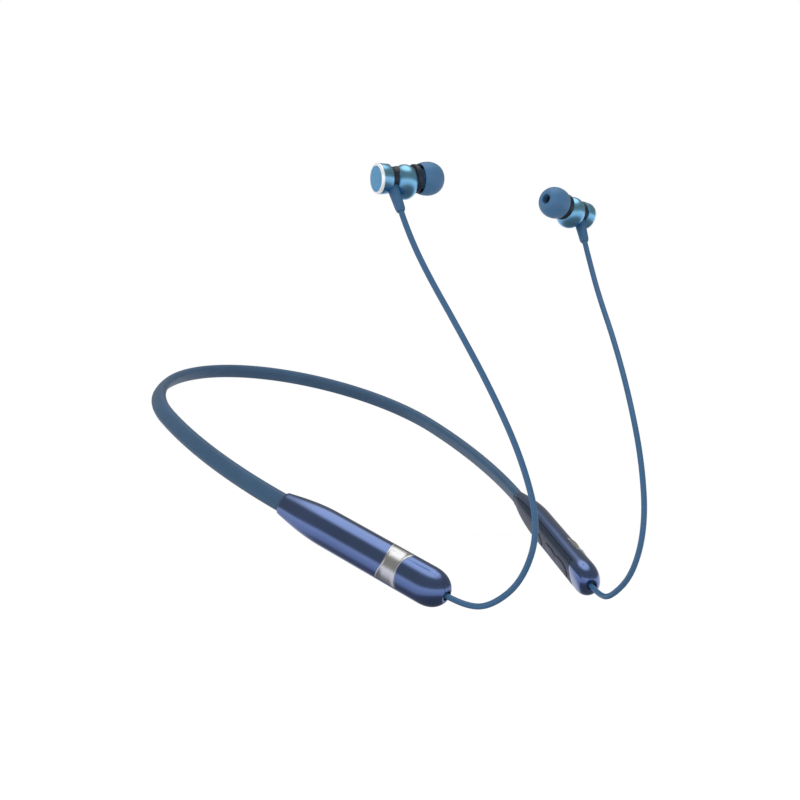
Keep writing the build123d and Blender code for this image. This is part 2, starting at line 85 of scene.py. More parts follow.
def matrix_of(x_axis: Vector, y_axis: Vector, z_axis: Vector, origin: Vector) -> Matrix:
    """Matrix whose columns are three axes and an origin.

    Args:
        x_axis: the direction of the frame's own X.
        y_axis: the direction of its Y.
        z_axis: the direction of its Z.
        origin: the frame's origin.

    Returns:
        The frame's matrix.
    """
    turned = Matrix((x_axis, y_axis, z_axis)).transposed().to_4x4()
    return Matrix.Translation(origin) @ turned


@dataclass(frozen=True)
class BandCurve:
    """The neckband's own curve, flat in its plane with the nape on the origin, in millimetres."""

    tilt: float = 24.7
    lean: float = 30.0
    bow_radius: float = 71.2
    bow_half_angle: float = 86.4
    arm_radius: float = 224.2
    arm_angle: float = 22.3
    thickness: float = 4.1
    height: float = 7.3
    insert: float = 8.0

    @property
    def worn(self) -> Matrix:
        """From the band's flat frame in millimetres to the row frame in metres.

        Returns:
            The matrix.
        """
        lean = math.radians(self.lean)
        lift = Vector((0, math.cos(lean), math.sin(lean))) * (self.thickness / 2)
        tilted = Matrix.Rotation(math.radians(self.tilt), 4, "X")
        return Matrix.Scale(MM, 4) @ tilted @ Matrix.Translation(lift)

    @property
    def bow_centre(self) -> Vector:
        """Centre of the bow's arc."""
        return Vector((0, -self.bow_radius, 0))

    def outward(self, angle: float) -> Vector:
        """Unit vector out of the bow at an angle from the nape, in degrees."""
        return Vector((math.sin(math.radians(angle)), math.cos(math.radians(angle)), 0))

    def bow_point(self, angle: float) -> Vector:
        """A point of the bow's centreline."""
        return self.bow_centre + self.outward(angle) * self.bow_radius

    @property
    def arm_centre(self) -> Vector:
        """Centre of the gentle arc of the left arm."""
        return self.bow_point(self.bow_half_angle) - self.outward(self.bow_half_angle) * self.arm_radius

    @property
    def heading(self) -> float:
        """Angle that the band has turned through where it enters the pod."""
        return self.bow_half_angle + self.arm_angle

    @property
    def nape_section(self) -> Matrix:
        """Frame of the section at the nape: X is thickness, Y is height, Z runs along the band.

        Returns:
            The frame's matrix, in the band's flat frame.
        """
        lean = math.radians(self.lean)
        x_axis = Vector((0, math.cos(lean), math.sin(lean)))
        y_axis = Vector((0, -math.sin(lean), math.cos(lean)))
        return matrix_of(x_axis, y_axis, Vector((1, 0, 0)), Vector((0, 0, 0)))

    @property
    def pod(self) -> Matrix:
        """Left pod's frame: X along the pod from its mouth, Y out of its broad face.

        Returns:
            The matrix from the pod's millimetres to metres.
        """
        lean = math.radians(self.lean)
        out, up = self.outward(self.heading), Vector((0, 0, 1))
        along = Vector((out.y, -out.x, 0))
        depth = out * math.cos(lean) + up * math.sin(lean)
        height = up * math.cos(lean) - out * math.sin(lean)
        mouth = self.arm_centre + out * self.arm_radius
        return self.worn @ matrix_of(along, depth, height, mouth)


@dataclass(frozen=True)
class BudPlace:
    """Where the left earbud sits when worn, in millimetres, and which way it points."""

    origin: tuple[float, float, float] = (51.9, -186.7, 53.2)
    direction: tuple[float, float, float] = (-0.98, -0.158, 0.117)
    boot_direction: tuple[float, float, float] = (-0.09, -0.37, -0.925)

    @property
    def axis(self) -> Vector:
        """From the back disc to the ear tip."""
        return Vector(self.direction).normalized()

    @property
    def boot_axis(self) -> Vector:
        """The way the cord boot points."""
        return Vector(self.boot_direction).normalized()

    @property
    def matrix(self) -> Matrix:
        """Earbud's frame: Z from the back disc to the ear tip, X to the boot's side.

        Returns:
            The matrix from the earbud's millimetres to metres.
        """
        side = (self.boot_axis - self.axis * self.boot_axis.dot(self.axis)).normalized()
        placed = matrix_of(side, self.axis.cross(side), self.axis, Vector(self.origin))
        return Matrix.Scale(MM, 4) @ placed

    def boot_matrix(self, root: float) -> Matrix:
        """Frame of the boot in metres: Z down the boot from the earbud's axis.

        Args:
            root: distance along the earbud's axis where the boot's own axis leaves it.

        Returns:
            The boot's frame.
        """
        place = Vector(self.origin) + self.axis * root
        side = self.boot_axis.cross(self.axis).normalized()
        return Matrix.Scale(MM, 4) @ matrix_of(self.boot_axis.cross(side), side, self.boot_axis, place)


BAND = BandCurve()
BUD = BudPlace()


# ---------------------------------------------------------------- modelling by operators


def deselect() -> None:
    """Leave object mode, with nothing selected."""
    if bpy.context.object and bpy.context.object.mode != "OBJECT":
        bpy.ops.object.mode_set(mode="OBJECT")
    bpy.ops.object.select_all(action="DESELECT")


def take(piece: bpy.types.Object) -> None:
    """Make one object the only selected and active one.

    Args:
        piece: the object.
    """
    deselect()
    piece.select_set(True)
    bpy.context.view_layer.objects.active = piece


def edit(piece: bpy.types.Object) -> None:
    """Open a piece in edit mode with nothing of it selected.

    Args:
        piece: the piece to edit.
    """
    take(piece)
    bpy.ops.object.mode_set(mode="EDIT")
    bpy.ops.mesh.select_mode(type="VERT")
    bpy.ops.mesh.select_all(action="DESELECT")


def close_edit() -> None:
    """Go back to object mode."""
    bpy.ops.object.mode_set(mode="OBJECT")


def pick(piece: bpy.types.Object, test: Callable[[Vector], bool], kind: str = "VERT") -> int:
    """Select what a test on its place allows, in edit mode.

    Args:
        piece: the piece in edit mode.
        test: says whether a vertex's place, or the centre of a face or edge, is wanted.
        kind: VERT, EDGE or FACE.

    Returns:
        How many were selected.
    """
    bpy.ops.mesh.select_mode(type=kind)
    mesh = bmesh.from_edit_mesh(piece.data)
    found = {"VERT": mesh.verts, "EDGE": mesh.edges, "FACE": mesh.faces}[kind]
    count = 0
    for element in found:
        if kind == "VERT":
            place = element.co
        elif kind == "EDGE":
            place = (element.verts[0].co + element.verts[1].co) / 2
        else:
            place = element.calc_center_median()
        wanted = test(place)
        element.select_set(wanted)
        count += wanted
    mesh.select_flush_mode()
    bmesh.update_edit_mesh(piece.data)
    return count


def reshape(piece: bpy.types.Object, move: Callable[[Vector], Vector]) -> None:
    """Move every vertex to where a rule puts it.

    Args:
        piece: the piece in object mode.
        move: gives a vertex's new place from its old one.
    """
    for vertex in piece.data.vertices:
        vertex.co = move(vertex.co)
    piece.data.update()


def modify(piece: bpy.types.Object, kind: str, **settings: object) -> None:
    """Add a modifier with its settings and apply it.

    Args:
        piece: the piece in object mode.
        kind: the modifier's type.
        settings: its properties.
    """
    take(piece)
    modifier = piece.modifiers.new(kind.lower(), kind)
    for name, value in settings.items():
        setattr(modifier, name, value)
    bpy.ops.object.modifier_apply(modifier=modifier.name)


def soften(piece: bpy.types.Object, width: float, segments: int = 3, angle: float = 35.0) -> None:
    """Round the sharp edges of a piece.

    Args:
        piece: the piece in object mode.
        width: the rounding's width, in the piece's own units.
        segments: how many faces go round each edge.
        angle: edges sharper than this are rounded, in degrees.
    """
    modify(
        piece, "BEVEL", width=width, segments=segments, limit_method="ANGLE",
        angle_limit=math.radians(angle), use_clamp_overlap=True, harden_normals=False)


def tidy(piece: bpy.types.Object, near: float = 1e-4) -> None:
    """Merge doubled vertices, drop loose ones and turn the faces outward.

    Args:
        piece: the piece in object mode.
        near: vertices closer than this are merged.
    """
    edit(piece)
    bpy.ops.mesh.select_all(action="SELECT")
    bpy.ops.mesh.remove_doubles(threshold=near)
    bpy.ops.mesh.dissolve_degenerate(threshold=near)
    bpy.ops.mesh.delete_loose()
    bpy.ops.mesh.select_all(action="SELECT")
    bpy.ops.mesh.normals_make_consistent(inside=False)
    close_edit()


def place(piece: bpy.types.Object, matrix: Matrix, side: Side = Side.LEFT, angle: float = 40.0) -> None:
    """Put a piece's mesh in its place in the row frame and smooth its shading.

    Args:
        piece: a piece drawn in its own frame, in millimetres.
        matrix: that frame on the left-hand side, which takes millimetres to metres.
        side: the side that the piece is on.
        angle: edges sharper than this stay sharp in shading.
    """
    take(piece)
    piece.data.transform(side.turn @ matrix)
    if side is Side.RIGHT:
        piece.data.flip_normals()
    bpy.ops.object.shade_smooth_by_angle(angle=math.radians(angle))


def circle(name: str, vertices: int, radius: float = 1.0) -> bpy.types.Object:
    """New circle in its own XY plane, without a face.

    Args:
        name: the piece's name.
        vertices: how many points it has.
        radius: its radius.

    Returns:
        The circle.
    """
    deselect()
    bpy.ops.mesh.primitive_circle_add(vertices=vertices, radius=radius)
    piece = bpy.context.object
    piece.name = name
    piece.data.name = name
    return piece


def arc(centre: Point, radii: Point, start: float, end: float, steps: int) -> list[Point]:
    """Points along an elliptic arc.

    Args:
        centre: the arc's centre.
        radii: its two half sizes.
        start: the first angle, in degrees.
        end: the last angle.
        steps: how many equal steps lie between them.

    Returns:
        The points, from start to end.
    """
    points = []
    for step in range(steps + 1):
        angle = math.radians(start + (end - start) * step / steps)
        points.append((centre[0] + radii[0] * math.cos(angle), centre[1] + radii[1] * math.sin(angle)))
    return points


def turned(name: str, outline: Sequence[Point], steps: int = 72) -> bpy.types.Object:
    """Solid turned about its own Z.

    Args:
        name: the piece's name.
        outline: the closed outline's points, each a radius and a distance along the axis.
        steps: how many faces go round.

    Returns:
        The closed solid.
    """
    piece = circle(name, len(outline))
    for vertex, (radius, along) in zip(piece.data.vertices, outline):
        vertex.co = (max(radius, 0.0), 0.0, along)
    edit(piece)
    bpy.ops.mesh.select_all(action="SELECT")
    bpy.ops.mesh.spin(steps=steps, angle=math.tau, center=(0, 0, 0), axis=(0, 0, 1), use_auto_merge=True)
    close_edit()
    tidy(piece)
    return piece


def drawn_out(piece: bpy.types.Object, stations: Sequence[tuple[float, float, float]]) -> None:
    """Extrude a circle of radius one along its own Z, at each station to a new half width and height.

    Args:
        piece: the circle, in object mode.
        stations: for each, the distance along Z and the two half sizes.
    """
    first = stations[0]
    reshape(piece, lambda place: Vector((place.x * first[1], place.y * first[2], first[0])))
    edit(piece)
    bpy.ops.mesh.select_all(action="SELECT")
    for before, now in zip(stations, stations[1:]):
        bpy.ops.mesh.extrude_region_move(TRANSFORM_OT_translate={"value": (0, 0, now[0] - before[0])})
        share = (now[1] / before[1], now[2] / before[2], 1)
        bpy.ops.transform.resize(value=share, center_override=(0, 0, now[0]))
    close_edit()


# ---------------------------------------------------------------- shared surface effects


class Socket(Enum):
    """Kinds of socket of a node group."""

    VECTOR = "NodeSocketVector"
    COLOUR = "NodeSocketColor"
    NUMBER = "NodeSocketFloat"


def add_node(tree: bpy.types.NodeTree, kind: str, values: Values, **settings: object) -> bpy.types.Node:
    """New shader node.

    Args:
        tree: the tree that it goes in.
        kind: its type, without the common first word.
        values: what its inputs are set to, by name or number.
        settings: its own properties.

    Returns:
        The node.
    """
    node = tree.nodes.new(f"ShaderNode{kind}")
    for name, value in settings.items():
        setattr(node, name, value)
    for name, value in values.items():
        node.inputs[name].default_value = value
    return node


def join(tree: bpy.types.NodeTree, *wires: Wire) -> None:
    """Link nodes.

    Args:
        tree: the tree that holds them.
        wires: for each link, a node, its output, the next node and its input.
    """
    for source, output, sink, into in wires:
        tree.links.new(source.outputs[output], sink.inputs[into])


def new_group(name: str, inputs: Sequence[tuple[str, Socket]], outputs: Sequence[tuple[str, Socket]]) -> Group:
    """Shader node group with named sockets.

    Args:
        name: the group's name.
        inputs: name and kind of each input.
        outputs: name and kind of each output.

    Returns:
        The group, its input node and its output node.
    """
    group = bpy.data.node_groups.new(name, "ShaderNodeTree")
    for sockets, way in ((inputs, "INPUT"), (outputs, "OUTPUT")):
        for label, kind in sockets:
            group.interface.new_socket(label, in_out=way, socket_type=kind.value)
    return group, group.nodes.new("NodeGroupInput"), group.nodes.new("NodeGroupOutput")


def moulded_group() -> bpy.types.NodeTree:
    """Slow cloudy change of colour and gloss, with a fine grain for the height.

    Returns:
        The node group.
    """
    group, source, sink = new_group(
        "moulded_surface",
        [("Vector", Socket.VECTOR), ("Colour", Socket.COLOUR), ("Shade", Socket.COLOUR),
         ("Cloud Scale", Socket.NUMBER), ("Grain Scale", Socket.NUMBER),
         ("Rough Low", Socket.NUMBER), ("Rough High", Socket.NUMBER)],
        [("Colour", Socket.COLOUR), ("Roughness", Socket.NUMBER), ("Height", Socket.NUMBER)])
    cloud = add_node(group, "TexNoise", {"Detail": 3.0})
    grain = add_node(group, "TexNoise", {"Detail": 2.0})
    mix = add_node(group, "Mix", {}, data_type="RGBA")
    spread = add_node(group, "MapRange", {"From Min": 0.3, "From Max": 0.7})
    gloss = add_node(group, "MapRange", {})
    blend = add_node(group, "Math", {1: 0.35}, operation="MULTIPLY_ADD")
    join(
        group,
        (source, "Vector", cloud, "Vector"), (source, "Vector", grain, "Vector"),
        (source, "Cloud Scale", cloud, "Scale"), (source, "Grain Scale", grain, "Scale"),
        (cloud, "Fac", spread, "Value"), (spread, "Result", mix, "Factor"),
        (source, "Shade", mix, "A"), (source, "Colour", mix, "B"),
        (grain, "Fac", blend, 0), (cloud, "Fac", blend, 2), (blend, "Value", gloss, "Value"),
        (source, "Rough Low", gloss, "To Min"), (source, "Rough High", gloss, "To Max"),
        (mix, "Result", sink, "Colour"), (gloss, "Result", sink, "Roughness"), (grain, "Fac", sink, "Height"))
    return group


def flake_group() -> bpy.types.NodeTree:
    """Metallic lacquer: tiny flakes that lighten the colour and tilt the surface.

    Returns:
        The node group.
    """
    group, source, sink = new_group(
        "lacquer_flakes",
        [("Vector", Socket.VECTOR), ("Colour", Socket.COLOUR), ("Flake", Socket.COLOUR),
         ("Scale", Socket.NUMBER), ("Amount", Socket.NUMBER)],
        [("Colour", Socket.COLOUR), ("Height", Socket.NUMBER)])
    cells = add_node(group, "TexVoronoi", {})
    mix = add_node(group, "Mix", {}, data_type="RGBA")
    parts = add_node(group, "SeparateColor", {})
    amount = add_node(group, "Math", {}, operation="MULTIPLY")
    join(
        group,
        (source, "Vector", cells, "Vector"), (source, "Scale", cells, "Scale"), (cells, "Color", parts, "Color"),
        (parts, "Red", amount, 0), (source, "Amount", amount, 1), (amount, "Value", mix, "Factor"),
        (source, "Colour", mix, "A"), (source, "Flake", mix, "B"),
        (mix, "Result", sink, "Colour"), (parts, "Green", sink, "Height"))
    return group


class Effects:
    """The shared node groups, each made once."""

    made: dict[str, bpy.types.NodeTree] = {}

    @classmethod
    def place(cls, tree: bpy.types.NodeTree, maker: Callable[[], bpy.types.NodeTree],
              values: Values) -> bpy.types.Node:
        """A node that holds a shared group, made on first use.

        Args:
            tree: the material's tree.
            maker: makes the group.
            values: what the group's inputs are set to.

        Returns:
            The node.
        """
        if maker.__name__ not in cls.made:
            cls.made[maker.__name__] = maker()
        return add_node(tree, "Group", values, node_tree=cls.made[maker.__name__])


class Effect(Enum):
    """How a finish varies over its surface."""

    MOULDED = "moulded"
    FLAKES = "flakes"
    SPUN = "spun"
    WOVEN = "woven"


MATERIALS: dict[str, bpy.types.Material] = {}
BUMP_DEPTH = 0.0001
WEAVE_SCALE = 5000.0
FLAKE_SCALE = 9000.0
FLAKE_GAIN = 2.2
RINGS_PER_RADIUS = 60.0


@dataclass(frozen=True)
class Finish:
    """A surface finish, which makes its own material once."""

    name: str
    colour: Colour
    shade: Colour
    effect: Effect = Effect.MOULDED
    metallic: float = 0.0
    roughness: Point = (0.35, 0.5)
    coat: float = 0.0
    coat_roughness: float = 0.05
    sheen: float = 0.0
    specular: float = 0.5
    bump: float = 0.05
    grain: float = 2500.0
    cloud: float = 60.0
    flakes: float = 0.15

    def material(self) -> bpy.types.Material:
        """The finish as a material.

        Returns:
            The material, made on first use.
        """
        if self.name not in MATERIALS:
            MATERIALS[self.name] = self._make()
        return MATERIALS[self.name]

    def _make(self) -> bpy.types.Material:
        """A new material of this finish.

        Returns:
            The material.
        """
        material = bpy.data.materials.new(self.name)
        material.use_nodes = True
        material.diffuse_color = self.colour
        tree = material.node_tree
        shader = tree.nodes["Principled BSDF"]
        for name, value in (
                ("Metallic", self.metallic), ("Coat Weight", self.coat), ("Coat Roughness", self.coat_roughness),
                ("Sheen Weight", self.sheen), ("Specular IOR Level", self.specular)):
            shader.inputs[name].default_value = value
        where = add_node(tree, "TexCoord", {})
        moulded = Effects.place(tree, moulded_group, {
            "Shade": self.shade, "Colour": self.colour, "Cloud Scale": self.cloud, "Grain Scale": self.grain,
            "Rough Low": self.roughness[0], "Rough High": self.roughness[1]})
        bump = add_node(tree, "Bump", {"Strength": self.bump, "Distance": BUMP_DEPTH})
        join(
            tree, (where, "Object", moulded, "Vector"), (moulded, "Roughness", shader, "Roughness"),
            (bump, "Normal", shader, "Normal"))
        surface = self._flaked(tree, where, moulded) if self.effect is Effect.FLAKES else moulded
        join(tree, (surface, "Colour", shader, "Base Color"))
        if self.effect is Effect.SPUN:
            join(tree, (self._spun(tree), "Value", bump, "Height"))
        elif self.effect is Effect.WOVEN:
            weave = add_node(tree, "TexVoronoi", {"Scale": WEAVE_SCALE})
            join(tree, (where, "Object", weave, "Vector"), (weave, "Distance", bump, "Height"))
        else:
            join(tree, (surface, "Height", bump, "Height"))
        return material

    def _flaked(self, tree: bpy.types.NodeTree, where: bpy.types.Node, moulded: bpy.types.Node) -> bpy.types.Node:
        """Lay metallic flakes over the moulded colour.

        Args:
            tree: the material's tree.
            where: the node that gives the place on the piece.
            moulded: the node that gives the colour under the flakes.

        Returns:
            The flakes' node.
        """
        bright = tuple(min(1.0, FLAKE_GAIN * part) for part in self.colour[:3]) + (1,)
        flakes = Effects.place(tree, flake_group, {"Amount": self.flakes, "Flake": bright, "Scale": FLAKE_SCALE})
        join(tree, (where, "Object", flakes, "Vector"), (moulded, "Colour", flakes, "Colour"))
        return flakes

    def _spun(self, tree: bpy.types.NodeTree) -> bpy.types.Node:
        """Fine rings left by turning, from the piece's own distance to its axis.

        Args:
            tree: the material's tree.

        Returns:
            The node that gives the rings' height.
        """
        radius = add_node(tree, "Attribute", {}, attribute_name="turned_radius")
        times = add_node(tree, "Math", {1: RINGS_PER_RADIUS}, operation="MULTIPLY")
        waves = add_node(tree, "Math", {}, operation="SINE")
        join(tree, (radius, "Fac", times, 0), (times, "Value", waves, 0))
        return waves

    def dress(self, piece: bpy.types.Object) -> None:
        """Give a new piece this finish all over."""
        piece.data.materials.clear()
        piece.data.materials.append(self.material())

    def dress_node(self, name: str) -> None:
        """Give a carried-over CAD node this finish.

        Args:
            name: the node's name.
        """
        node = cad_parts[name]
        for slot in node.material_slots:
            slot.material = self.material()


def rgb(red: float, green: float, blue: float) -> Colour:
    """A linear colour with no transparency."""
    return (red, green, blue, 1.0)


SILICONE = Finish("band_silicone", rgb(0.020, 0.064, 0.128), rgb(0.016, 0.054, 0.110), roughness=(0.42, 0.52),
                  sheen=0.08, bump=0.02, grain=2500.0)
LACQUER = Finish("shell_lacquer", rgb(0.130, 0.205, 0.450), rgb(0.115, 0.185, 0.410), Effect.FLAKES, metallic=1.0,
                 roughness=(0.17, 0.24), coat=1.0, coat_roughness=0.03, bump=0.004, flakes=0.10)
COVER = Finish("cover_paint", rgb(0.028, 0.040, 0.070), rgb(0.024, 0.034, 0.061), metallic=0.35,
               roughness=(0.36, 0.46), bump=0.04, grain=5000.0)
CONTROL = Finish("control_paint", rgb(0.026, 0.037, 0.065), rgb(0.022, 0.031, 0.056), metallic=0.35,
                 roughness=(0.32, 0.42), bump=0.03, grain=5000.0)
CHROME = Finish("trim_chrome", rgb(0.80, 0.80, 0.80), rgb(0.74, 0.74, 0.75), metallic=1.0,
                roughness=(0.20, 0.30), bump=0.01, grain=4000.0)
BRIGHT = Finish("bevel_chrome", rgb(0.93, 0.94, 0.95), rgb(0.88, 0.90, 0.92), metallic=0.45,
                roughness=(0.16, 0.24), bump=0.01)
DISC = Finish("disc_anodised", rgb(0.120, 0.335, 0.560), rgb(0.110, 0.310, 0.525), Effect.SPUN, metallic=0.45,
              roughness=(0.34, 0.44), bump=0.10)
BUD_METAL = Finish("bud_lacquer", rgb(0.280, 0.680, 0.980), rgb(0.250, 0.620, 0.920), Effect.FLAKES, metallic=1.0,
                   roughness=(0.24, 0.32), coat=0.4, coat_roughness=0.08, bump=0.004, flakes=0.10)
# Near-black finish of the earbud's waist, front shoulder and ring behind the ear tip; on the shoulder and that
# ring the near-black is painted shade for the shadow between the bulb and the ear tip.
DARK = Finish("dark_plastic_and_painted_shade", rgb(0.010, 0.016, 0.028), rgb(0.008, 0.013, 0.023), roughness=(0.3, 0.42))
TIP = Finish("tip_silicone", rgb(0.034, 0.115, 0.232), rgb(0.030, 0.102, 0.208), roughness=(0.36, 0.46),
             sheen=0.08, bump=0.015, grain=2500.0)
RUBBER = Finish("cord_rubber", rgb(0.026, 0.090, 0.186), rgb(0.023, 0.079, 0.166), roughness=(0.32, 0.42),
                bump=0.03, grain=3000.0)
GLAND = Finish("gland_rubber", rgb(0.008, 0.026, 0.055), rgb(0.007, 0.022, 0.047), roughness=(0.4, 0.5))
STEEL = Finish("plated_steel", rgb(0.55, 0.55, 0.56), rgb(0.48, 0.48, 0.50), metallic=1.0, roughness=(0.25, 0.4))
BLACK = Finish("black_moulding", rgb(0.02, 0.02, 0.022), rgb(0.016, 0.016, 0.018), roughness=(0.4, 0.55))
BOARD = Finish("solder_mask", rgb(0.015, 0.11, 0.045), rgb(0.012, 0.09, 0.038), roughness=(0.25, 0.4))
FOIL = Finish("cell_foil", rgb(0.55, 0.56, 0.58), rgb(0.48, 0.49, 0.51), metallic=0.9, roughness=(0.3, 0.5))
LENS = Finish("lamp_lens", rgb(0.75, 0.80, 0.82), rgb(0.70, 0.75, 0.78), roughness=(0.1, 0.2))
GAUZE = Finish("nozzle_gauze", rgb(0.20, 0.20, 0.21), rgb(0.12, 0.12, 0.13), Effect.WOVEN, metallic=0.8,
               roughness=(0.35, 0.5), bump=0.8)


def hang(piece: bpy.types.Object, finish: Finish, body: str, node: str) -> None:
    """Dress a new piece and hang it on its body.

    Args:
        piece: the piece, in its place.
        finish: its finish.
        body: the body that it moves with.
        node: the CAD node that it replaces.
    """
    finish.dress(piece)
    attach(piece, body)
    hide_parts(node)


# ---------------------------------------------------------------- the neckband


@dataclass
class Neckband:
    """The silicone neckband: one soft skin for each half."""

    section_radius: float = 1.9
    corner_steps: int = 6
    side_cuts: int = 5
    crown: float = 0.18
    bow_steps: int = 76
    arm_steps: int = 40
    bend_start: float = 12.0
    bend_end: float = 84.0

    def build(self, side: Side) -> None:
        """Model and dress one half of the neckband.

        Args:
            side: the half to make.
        """
        skin = self._skin(side.name_of("neckband_skin"))
        place(skin, BAND.worn, side)
        SILICONE.dress(skin)
        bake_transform(skin)
        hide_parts("nape_sheath", side.name_of("arm_sheath"))

    def _skin(self, name: str) -> bpy.types.Object:
        """The left half in the band's flat frame: a rounded profile swept round two arcs.

        Args:
            name: the piece's name.

        Returns:
            The closed skin, in millimetres.
        """
        deselect()
        bpy.ops.mesh.primitive_plane_add(size=1)
        skin = bpy.context.object
        skin.name = name
        reshape(skin, lambda at: Vector((at.x * BAND.thickness, at.y * BAND.height, 0)))
        edit(skin)
        bpy.ops.mesh.select_all(action="SELECT")
        bpy.ops.mesh.bevel(offset=self.section_radius, segments=self.corner_steps, affect="VERTICES")
        bpy.ops.mesh.delete(type="ONLY_FACE")
        pick(skin, lambda at: abs(at.x) > BAND.thickness / 2 - 0.01, "EDGE")
        bpy.ops.mesh.subdivide(number_cuts=self.side_cuts)
        close_edit()
        flat = BAND.height / 2 - self.section_radius
        reshape(skin, lambda at: self._crowned(at, flat))
        skin.data.transform(BAND.nape_section)
        edit(skin)
        bpy.ops.mesh.select_all(action="SELECT")
        for steps, angle, centre in (
                (self.bow_steps, BAND.bow_half_angle, BAND.bow_centre),
                (self.arm_steps, BAND.arm_angle, BAND.arm_centre)):
            bpy.ops.mesh.spin(steps=steps, angle=math.radians(angle), center=centre, axis=(0, 0, 1))
        out = BAND.outward(BAND.heading)
        along = Vector((out.y, -out.x, 0)) * BAND.insert
        bpy.ops.mesh.extrude_region_move(TRANSFORM_OT_translate={"value": along})
        bpy.ops.mesh.edge_face_add()
        pick(skin, lambda at: abs(at.x) < 0.001)
        bpy.ops.mesh.edge_face_add()
        close_edit()
        tidy(skin)
        return skin

    def _crowned(self, at: Vector, flat: float) -> Vector:
        """Crown the profile's two broad sides a little, so that light runs along them.

        Args:
            at: a point of the profile.
            flat: half height of the flat side.

        Returns:
            The point, moved out if it is on a broad side.
        """
        if abs(at.y) < flat:
            lift = self.crown * (1 - (at.y / flat) ** 2)
            return Vector((at.x + math.copysign(lift, at.x), at.y, 0))
        return at


# ---------------------------------------------------------------- the pods


@dataclass
class Pod:
    """One pod's outer shell, inner cover and saddle trim, drawn in the pod's frame in millimetres."""

    length: float = 78.0
    half_height: float = 7.05
    outer_depth: float = 5.9
    inner_depth: float = 4.6
    mouth_half_height: float = 4.5
    mouth_half_depth: float = 2.9
    taper: float = 23.0
    dome: float = 9.0
    dome_fullness: float = 0.93
    dome_power: float = 2.4
    seam: float = 1.9
    seam_gap: float = 0.22
    lip: float = 1.8
    cover_end: float = 67.5
    wall: float = 1.1
    rim_round: float = 0.26
    rim_angle: float = 50.0
    smooth_angle: float = 32.0
    flatness: float = 6.0
    ring_points: int = 96
    taper_steps: int = 16
    length_steps: int = 14
    hole_radius: float = 1.85
    hole_depth: float = 2.6
    hole_dish: float = 0.02
    hole_rings: Point = (0.80, 0.62)
    trim_at: float = 55.8
    trim_waist: float = 6.6
    trim_edge: float = 11.8
    trim_reach: float = 8.05
    trim_thickness: float = 0.6
    trim_sweep: float = 66.0
    trim_steps: int = 72

    def stations(self) -> list[tuple[float, float, float]]:
        """Distance, half depth and half height of each section from the mouth to the tip.

        Returns:
            The stations in order.
        """
        dome_start = self.length - self.dome
        steps, count = range(1, self.length_steps + 1), self.length_steps
        places = [-self.lip, -self.lip / 2]
        places += [self.taper * step / self.taper_steps for step in range(self.taper_steps + 1)]
        places += [self.taper + (dome_start - self.taper) * step / count for step in steps]
        places += [dome_start + self.dome * math.sin(math.pi / 2 * step / count) for step in steps]
        return [(at, self._half(at, self.outer_depth, self.mouth_half_depth),
                 self._half(at, self.half_height, self.mouth_half_height)) for at in places]

    def _half(self, at: float, full: float, mouth: float) -> float:
        """Half size at a distance along the pod.

        Args:
            at: the distance from the mouth.
            full: the half size of the barrel.
            mouth: the half size at the mouth.

        Returns:
            The half size there.
        """
        if at < self.taper:
            return mouth + (full - mouth) * math.sin(math.pi / 2 * max(at, 0.0) / self.taper)
        past = max(0.0, (at - self.length + self.dome) / self.dome)
        return full * math.sqrt(1 - (self.dome_fullness * past) ** self.dome_power)

    def flattened(self, depth: float) -> float:
        """Press the inner side to its flat.

        Args:
            depth: a depth of the round section, negative on the inner side.

        Returns:
            The depth after pressing.
        """
        if depth >= 0:
            return depth
        return depth / (1 + (-depth / self.inner_depth) ** self.flatness) ** (1 / self.flatness)

    def _skin(self, name: str) -> bpy.types.Object:
        """Whole skin of the pod, with an open mouth and the cord's hole in its tip.

        Args:
            name: the piece's name.

        Returns:
            The open skin in the pod's frame.
        """
        skin = circle(name, self.ring_points)
        stations = self.stations()
        drawn_out(skin, stations)
        edit(skin)
        pick(skin, lambda at: at.z > self.length - 1e-4)
        half = stations[-1][1:]
        for share in (*self.hole_rings, 0.0):
            ring = [self.hole_radius + share * (size - self.hole_radius) for size in stations[-1][1:]]
            drop = 0 if share else -self.hole_dish
            bpy.ops.mesh.extrude_region_move(TRANSFORM_OT_translate={"value": (0, 0, drop)})
            bpy.ops.transform.resize(value=(ring[0] / half[0], ring[1] / half[1], 1),
                                     center_override=(0, 0, self.length))
            half = ring
        bpy.ops.mesh.extrude_region_move(TRANSFORM_OT_translate={"value": (0, 0, -self.hole_depth)})
        close_edit()
        reshape(skin, lambda at: Vector((at.z, self.flattened(at.x), at.y)))
        tidy(skin)
        return skin

    def _cut(self, skin: bpy.types.Object, place_on: Vector, normal: Vector) -> None:
        """Cut a skin through by a plane without removing either side.

        Args:
            skin: the skin in object mode.
            place_on: a point of the plane.
            normal: the plane's normal.
        """
        edit(skin)
        bpy.ops.mesh.select_all(action="SELECT")
        bpy.ops.mesh.bisect(plane_co=place_on, plane_no=normal)
        close_edit()

    def _part(self, name: str, keep: Callable[[Vector], bool]) -> bpy.types.Object:
        """The part of the pod's skin that a test keeps, given its wall.

        Args:
            name: the piece's name.
            keep: says whether a face stays, by its centre.

        Returns:
            The closed part.
        """
        skin = self._skin(name)
        for depth in (-self.seam, -self.seam - self.seam_gap):
            self._cut(skin, Vector((0, depth, 0)), Vector((0, 1, 0)))
        for along in (self.cover_end, self.cover_end + self.seam_gap, 0):
            self._cut(skin, Vector((along, 0, 0)), Vector((1, 0, 0)))
        edit(skin)
        pick(skin, lambda at: not keep(at), "FACE")
        bpy.ops.mesh.delete(type="FACE")
        close_edit()
        tidy(skin)
        modify(skin, "SOLIDIFY", thickness=self.wall, offset=-1.0, use_rim=True, use_even_offset=True)
        return skin

